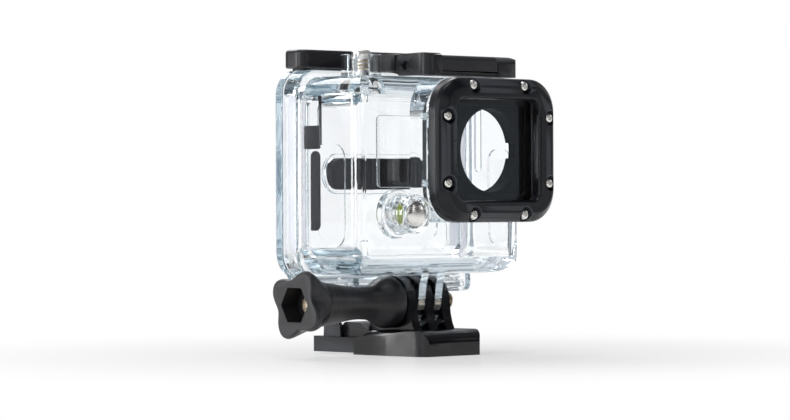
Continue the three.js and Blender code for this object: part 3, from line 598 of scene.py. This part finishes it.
def bezel():
    outline = port_outline()
    slope = [(-24.0, 2.75), (-23.98, 2.5), (-23.9, 2.28), (-23.72, 2.02), (-22.55, 0.62), (-22.3, 0.36),
             (-22.05, 0.2), (-21.75, 0.08), (-21.3, 0.02)]
    body = loft("y", [(level, outline(inset)) for level, inset in slope])
    hole = centred(OPENING["half_w"], OPENING["half_h"], 2.5)
    flare = [(-24.4, -1.1), (-24.01, -0.75), (-23.9, -0.55), (-23.6, -0.3), (-23.3, -0.12), (-22.9, 0.0),
             (-20.0, 0.0)]
    tools = [loft("y", [(level, hole(inset)) for level, inset in flare])]
    for at in SCREW_CENTRES:
        tools += [lathe("y", [(-26, 2.4), (-24.02, 2.35), (-23.8, 2.1), (-21.8, 2.0)], at, 32),
                  rod("y", -23, -20, 1.0, at, 16)]
    return carve(body, *tools)


def backing():
    body = prism("y", port_outline(), -21.1, -18.4, 0.3, 0.3, 3)
    window = prism("y", centred(17.0, 14.7, 2.8), -30, -15)
    return carve(body, window, *[rod("y", -30, -15, 1.0, at, 16) for at in SCREW_CENTRES])


def shroud():
    """The dark plate behind the glass, sunk in the middle, with the tube round the camera's lens."""
    plate = prism("y", centred(15.8, 13.5, 2.4), -18.4, -17.3)
    hollow = rounded(OPENING["x"] - 14, OPENING["x"] + 14, 43.6, 67.6, 1.2)
    well = prism("y", hollow, -30, -17.85)
    x, z, r = APERTURE["x"], APERTURE["z"], APERTURE["r"]
    at = (x, z)
    tube = lathe("y", [(-17.6, 12.3), (-12.7, 12.3), (-12.5, 12.1)], at, 96)
    mask = carve(prism("y", centred(16.85, 14.55, 2.6), -18.75, -18.3), prism("y", hollow, -30, -15))
    body = join(carve(plate, well), tube, mask)
    bore = lathe("y", [(-30, r + 0.45), (-17.9, r + 0.35), (-17.5, r), (0, r)], at, 96)
    slot = box(x + 8, x + 14, -13.5, -12, z - 2.1, z + 2.1)
    keys = [box(x + 8, x + 11.8, y, y + 0.45, z - 2.1, z + 2.1) for y in (-15.8, -15.05, -14.3)]
    return carve(body, bore, slot, *keys)


def screw(at):
    x, z = at
    profile = [(-23.4, 0.3), (-23.4, 0.9), (-23.28, 1.12), (-23.05, 1.29), (-22.75, 1.35), (-22.1, 1.35),
               (-22.1, 0.7), (-15.2, 0.65), (-15.2, 0.2)]
    body = lathe("y", profile, at, 32)
    return carve(body, prism("y", disc(0.62, x, z, 6), -24, -22.7))


piece(bezel(), "port_bezel", BEZEL, "housing", ["lens_bezel"], 0.1, 30)
piece(backing(), "port_backing", BLACK, "housing", ["bezel_backing"])
window = prism("y", centred(16.7, 14.4, 2.5), -20.4, -18.8, 0.15, 0.15, 2)
piece(window, "port_window", GLASS, "housing", ["lens_glass"])
gasket = carve(prism("y", centred(16.7, 14.4, 2.5), -21.2, -20.7, 0.1, 0.1, 2),
               prism("y", centred(OPENING["half_w"], OPENING["half_h"], 2.2), -30, -15))
piece(gasket, "window_gasket", RUBBER, "housing", ["glass_gasket"])
piece(shroud(), "lens_hood", HOOD, "housing", ["lens_shroud"], 0.08)
for i, at in enumerate(SCREW_CENTRES, start=1):
    piece(screw(at), f"port_screw_{i}", STEEL, "housing", [f"bezel_screw_{i}"])


# ---- Latch --------------------------------------------------------------------------------------
def pin_hole():
    return rod("x", -10, 26, 1.2, LATCH_PIN, 28)


def latch_base():
    side = [(-13.1, 75.8), (-2.2, 75.8), (-1.2, 76.6), (-0.9, 77.6), (-1.0, 79.6), (-1.5, 81.0), (-2.4, 81.7)]
    block = common(polygon("x", side + arc_points(-11.5, 80.3, 1.6, 90, 180, 6), -8.0, -2.0),
                   prism("z", rounded(-8.0, 1, -13.1, 0, (3.2, 0.1, 0.1, 1.2), 10), 75, 83))
    block = carve(block, box(-5.6, 2, -7.5, 1, 75, 83), box(-5.6, 2, -12.65, -7, 76.8, 81.6))
    floor = box(-3, 23, -12, -7.6, 75.8, 76.8)
    end = rounded(20.2, 29.5, 75.8, 81.5, (0.6, 1.2, 3.4, 0.8), 10)()
    flank = [(3, 81.5)] + arc_points(-9.0, 77.9, 3.6, 90, 180, 10) + [(-12.6, 75.8), (3, 75.8)]
    cap = common(prism("z", rounded(20.2, 29.5, -12.6, 3, (0.6, 4.6, 2.6, 0.6), 10), 75, 83),
                 polygon("y", end, -14, 4), polygon("x", flank, 20, 30))
    cap = carve(cap, box(19, 22.2, -7.5, 4, 74, 84))
    return carve(join(block, floor, cap), pin_hole())


def latch_arm():
    y, z = LATCH_PIN
    hub_r, left, right = 2.7, -5.3, 21.9
    side = [(y, z + hub_r), (-1, 81.55), (2, 81.9), (8, 82.2), (14.5, 82.4), (20.8, 82.75), (21.9, 81.8),
            (21.9, 78.4), (14.5, 78.3), (4.7, 77.2), (1, 76.4), (y, z - hub_r)]
    web = polygon("x", side, left, right)
    hub = rod("x", left, right, hub_r, LATCH_PIN, 48)
    flank = [(-0.4, 77.2), (4.7, 77.2), (15.5, 78.4), (15.5, 82.3), (2, 81.88), (-0.4, 81.6)]
    flank = polygon("x", flank, -8, -5.0)
    bar = prism("z", rounded(-28.4, 24, 14.5, 22.6, 2.6, 12), 78.0, 83.1, 0.5, 1.0)
    heel = prism("z", rounded(-26.6, -22.0, 16.5, 19.5, 1.2, 6), 77.0, 78.5, 0.3, 0)
    lip = polygon("x", [(18.2, 77), (20.4, 77), (20.6, 77.4), (20.6, 79), (18.2, 79)], -26.2, 22.6)
    return carve(join(web, hub, flank, bar, heel, lip), pin_hole())


def latch_release():
    y0, y1, z0, z1 = -12.4, -8.1, 77.1, 81.4
    side = [(y0, z0), (y1, z0), (y1, z1)] + arc_points(y0 + 1.8, z1 - 1.8, 1.8, 90, 180, 8)
    body = polygon("x", side, -2.8, 19.9)
    return carve(body, rod("x", -4, 3.4, 1.5, RELEASE_AXIS, 28))


piece(latch_base(), "latch_mount", BLACK, "housing", ["latch_base"], 0.25)
piece(latch_arm(), "latch_lever", BLACK, "latch_arm", ["latch_arm"], 0.25)
piece(latch_release(), "latch_cover", BLACK, "latch_release", ["latch_release"], 0.25)
# The pin is darkened steel, painted shade so its end reads as a dark hole.
pin = lathe("x", soft_profile([(-7.0, 0.2), (-7.0, 0.9), (25.5, 0.9), (25.5, 0.2)], 0.2), LATCH_PIN, 28)
piece(pin, "latch_pin_fine", STEEL_DARKENED_AS_SHADE, "housing", ["latch_pin"])


# ---- Buttons, springs and seals -----------------------------------------------------------------
def coil(axis, centre, start, end, radius, wire, turns):
    """A round-wire spring as one closed tube."""
    steps, sides = turns * 24, 10
    rings = []
    for i in range(steps + 1):
        angle = 2 * math.pi * turns * i / steps
        middle = start + wire + (end - start - 2 * wire) * i / steps
        ring = []
        for k in range(sides):
            t = 2 * math.pi * k / sides
            r = radius + wire * math.cos(t)
            ring.append(in_space(axis, centre[0] + r * math.cos(angle), centre[1] + r * math.sin(angle),
                                 middle + wire * math.sin(t)))
        rings.append(ring)
    verts = [p for ring in rings for p in ring]
    faces = []
    for i in range(steps):
        lo, hi = i * sides, (i + 1) * sides
        for k in range(sides):
            n = (k + 1) % sides
            faces.append((lo + k, lo + n, hi + n, hi + k))
    faces += [tuple(range(sides)), tuple(range(len(verts) - sides, len(verts)))]
    return mesh_object("spring", verts, faces)


# Profiles as (level, radius), each from the stem's inner end or the cap's face.
shutter = [(69.2, 0.2), (69.2, 0.7), (69.5, 1.1), (70.4, 1.1), (70.4, 0.7), (71.0, 0.7), (71.0, 1.1),
           (80.2, 1.1), (80.2, 2.5), (80.4, 2.6), (82.15, 2.6), (82.45, 2.3), (82.58, 1.9), (82.6, 0.2)]
mode = [(-21.0, 0.2), (-20.98, 1.0), (-20.85, 1.9), (-20.6, 2.7), (-20.2, 3.35), (-19.9, 3.6),
        (-19.2, 3.65), (-19.2, 1.2), (-11.1, 1.2), (-11.1, 0.75), (-10.5, 0.75), (-10.5, 1.2), (-9.8, 1.2),
        (-9.5, 0.8), (-9.5, 0.2)]
piece(lathe("z", shutter, SHUTTER, 48), "shutter_plunger", STEEL, "shutter_button",
      ["shutter_button"])
piece(lathe("y", mode, MODE, 56), "mode_plunger", STEEL, "mode_button", ["mode_button"])


def spring(axis, centre, fixed, moving, radius, wire, turns, name, look, node):
    """A coil between its fixed and moving ends, all of it tied to the housing; it does not follow the joint or
    shorten.
    """
    low, high = sorted((fixed, moving))
    obj = piece(coil(axis, centre, low, high, radius, wire, turns), name, look, "housing", [node])
    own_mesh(obj)


spring("z", SHUTTER, 76.75, 80.05, 1.85, 0.24, 3,
       "shutter_coil", SPRING, "shutter_spring")
spring("y", MODE, -16.7, -18.9, 1.85, 0.24, 3,
       "mode_coil", SPRING, "mode_spring")
# The release coil is darkened steel, painted shade so it sinks into its recess.
spring("x", RELEASE_AXIS, -5.3, 3.1, 0.95, 0.2, 9,
       "release_coil", STEEL_DARKENED_AS_SHADE, "release_spring")


def washer(axis, centre, start, end, inner, outer):
    profile = soft_profile([(start, inner), (start, outer), (end, outer), (end, inner)], 0.25)
    return lathe(axis, profile, centre, 40, True)


piece(washer("y", MODE, -16.6, -15.2, 1.5, 2.7), "mode_gland", LIME, "housing", ["mode_seal"])
piece(washer("z", SHUTTER, 71.2, 72.3, 1.4, 2.4), "shutter_gland", RUBBER, "housing",
      ["shutter_seal"])
for name in ("shutter_clip", "mode_clip"):
    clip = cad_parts[name]
    clip.data.materials.clear()
    clip.data.materials.append(STEEL)


# ---- Floor, light and camera --------------------------------------------------------------------
def studio_floor():
    """A pale surface that takes a soft shadow near the object and runs out to plain white."""
    half = 1500
    corners = [(-half, -half, 0), (half, -half, 0), (half, half, 0), (-half, half, 0)]
    plane = mesh_object("floor", corners, [(0, 1, 2, 3)])
    look, tree, shader = new_look("pale_floor")
    tree.nodes.remove(shader)
    place = tree.nodes.new("ShaderNodeTexCoord")
    reach = node(tree, "ShaderNodeVectorMath")
    reach.operation = "LENGTH"
    tree.links.new(place.outputs["Object"], reach.inputs[0])
    matt = node(tree, "ShaderNodeBsdfDiffuse", Color=(0.93, 0.93, 0.93, 1))
    glow = node(tree, "ShaderNodeEmission", Color=(1, 1, 1, 1), Strength=1.0)
    shine = node(tree, "ShaderNodeBsdfAnisotropic", Color=(0.9, 0.9, 0.9, 1), Roughness=0.1)
    lit, both = node(tree, "ShaderNodeMixShader"), node(tree, "ShaderNodeMixShader")
    tree.links.new(spread(tree, reach.outputs["Value"], 0.4, 0.0, 0.04, 0.13), lit.inputs[0])
    tree.links.new(spread(tree, reach.outputs["Value"], 0.12, 0.0, 0.05, 0.16), both.inputs[0])
    tree.links.new(glow.outputs[0], lit.inputs[1])
    tree.links.new(matt.outputs[0], lit.inputs[2])
    tree.links.new(lit.outputs[0], both.inputs[1])
    tree.links.new(shine.outputs[0], both.inputs[2])
    tree.links.new(both.outputs[0], tree.nodes["Material Output"].inputs["Surface"])
    plane.data.materials.append(look)


def toward(tree, source, direction):
    """How far a direction points along another, from 0 (away) to 1 (straight along)."""
    made = node(tree, "ShaderNodeVectorMath")
    made.operation = "DOT_PRODUCT"
    made.inputs[1].default_value = direction
    tree.links.new(source, made.inputs[0])
    return spread(tree, made.outputs["Value"], 0.0, 1.0, -1.0, 1.0)


def studio_world():
    """A white backdrop, seen with dark flags beside it through clear plastic, and dim in reflections."""
    world = bpy.data.worlds.new("studio")
    bpy.context.scene.world = world
    world.use_nodes = True
    tree = world.node_tree
    background = tree.nodes["Background"]
    place = tree.nodes.new("ShaderNodeTexCoord").outputs["Generated"]
    height = tree.nodes.new("ShaderNodeSeparateXYZ")
    tree.links.new(place, height.inputs[0])
    white, flag, edge = (1.13, 1.13, 1.14, 1), (0.08, 0.1, 0.12, 1), (0.5, 0.56, 0.6, 1)
    near_flag = (0.06, 0.08, 0.1, 1)
    sideways = toward(tree, place, (math.cos(VIEW_AZIMUTH), math.sin(VIEW_AZIMUTH), 0.0))
    clear = ramp(tree, sideways, [
        (0.0, (0.5, 0.56, 0.62, 1)), (0.05, flag), (0.1, edge), (0.16, flag), (0.25, near_flag), (0.31, white),
        (0.69, white), (0.75, near_flag), (0.84, flag), (0.9, edge), (0.95, flag), (1.0, (0.4, 0.46, 0.52, 1))])
    overhead = ramp(tree, height.outputs["Z"], [
        (0.24, (1, 1, 1, 1)), (0.4, (0.26, 0.3, 0.34, 1)), (0.8, (0.7, 0.76, 0.8, 1))])
    shaded = mix_colours(tree, 1.0, clear, overhead, "MULTIPLY")
    facing = toward(tree, place, (math.sin(VIEW_AZIMUTH), -math.cos(VIEW_AZIMUTH), 0.0))
    mirror = ramp(tree, facing, [
        (0.0, (0.4, 0.4, 0.42, 1)), (0.4, (0.12, 0.12, 0.13, 1)), (0.53, (0.02, 0.02, 0.023, 1)),
        (1.0, (0.01, 0.01, 0.012, 1))])
    path = tree.nodes.new("ShaderNodeLightPath")
    seen = mix_colours(tree, path.outputs["Is Transmission Ray"], mirror, shaded)
    final = mix_colours(tree, path.outputs["Is Camera Ray"], seen, (1, 1, 1, 1))
    tree.links.new(final, background.inputs["Color"])
    background.inputs["Strength"].default_value = 1.0


def softbox(name, azimuth, elevation, distance, size, power, aim=(0, 0, 0.045)):
    """A soft light aimed at the object: degrees, metres and watts, with azimuth 0 in front of the lens."""
    light = bpy.data.lights.new(name, "AREA")
    light.shape = "RECTANGLE"
    light.size, light.size_y = size
    light.energy = power
    obj = bpy.data.objects.new(name, light)
    a, e = math.radians(azimuth), math.radians(elevation)
    back = Vector((math.sin(a) * math.cos(e), -math.cos(a) * math.cos(e), math.sin(e)))
    obj.location = Vector(aim) + back * distance
    obj.rotation_euler = back.to_track_quat("Z", "Y").to_euler()
    obj.visible_camera = False
    bpy.context.scene.collection.objects.link(obj)


def set_camera():
    """The photograph's view, found from the screws, the aperture, the prongs and the buckle's corners."""
    azimuth, elevation, roll = VIEW_AZIMUTH, math.radians(0.098), math.radians(-0.245)
    distance, aside, above = 0.8991, -0.00562, 0.03942
    reach = math.cos(elevation)
    back = Vector((math.sin(azimuth) * reach, -math.cos(azimuth) * reach, math.sin(elevation)))
    level = Vector((math.cos(azimuth), math.sin(azimuth), 0))
    above_level = back.cross(level)
    right = level * math.cos(roll) + above_level * math.sin(roll)
    up = above_level * math.cos(roll) - level * math.sin(roll)
    camera = bpy.data.objects.new("camera", bpy.data.cameras.new("camera"))
    camera.data.lens = 149.957
    camera.data.sensor_width = 36.0
    turn = Matrix((right, up, back)).transposed().to_4x4()
    camera.matrix_world = Matrix.Translation(back * distance + right * aside + up * above) @ turn
    bpy.context.scene.collection.objects.link(camera)
    bpy.context.scene.camera = camera


studio_floor()
studio_world()
softbox("key", -122, 8, 0.8, (0.16, 0.36), 2.2)
softbox("left", -84, 20, 0.8, (0.1, 0.5), 1.8)
softbox("front", -38, 26, 0.9, (0.08, 0.4), 0.5)
softbox("fill", 14, 22, 0.9, (0.1, 0.5), 0.5)
softbox("top", -30, 78, 0.8, (0.4, 0.3), 1.4)
softbox("rear", 160, 45, 0.8, (0.6, 0.4), 3.4)
softbox("right_front", 60, 14, 0.9, (0.2, 0.12), 0.25)
set_camera()
scene = bpy.context.scene
scene.view_settings.view_transform = "Standard"
scene.cycles.max_bounces = 40
scene.cycles.transmission_bounces = 40
scene.cycles.glossy_bounces = 40
scene.cycles.transparent_max_bounces = 16
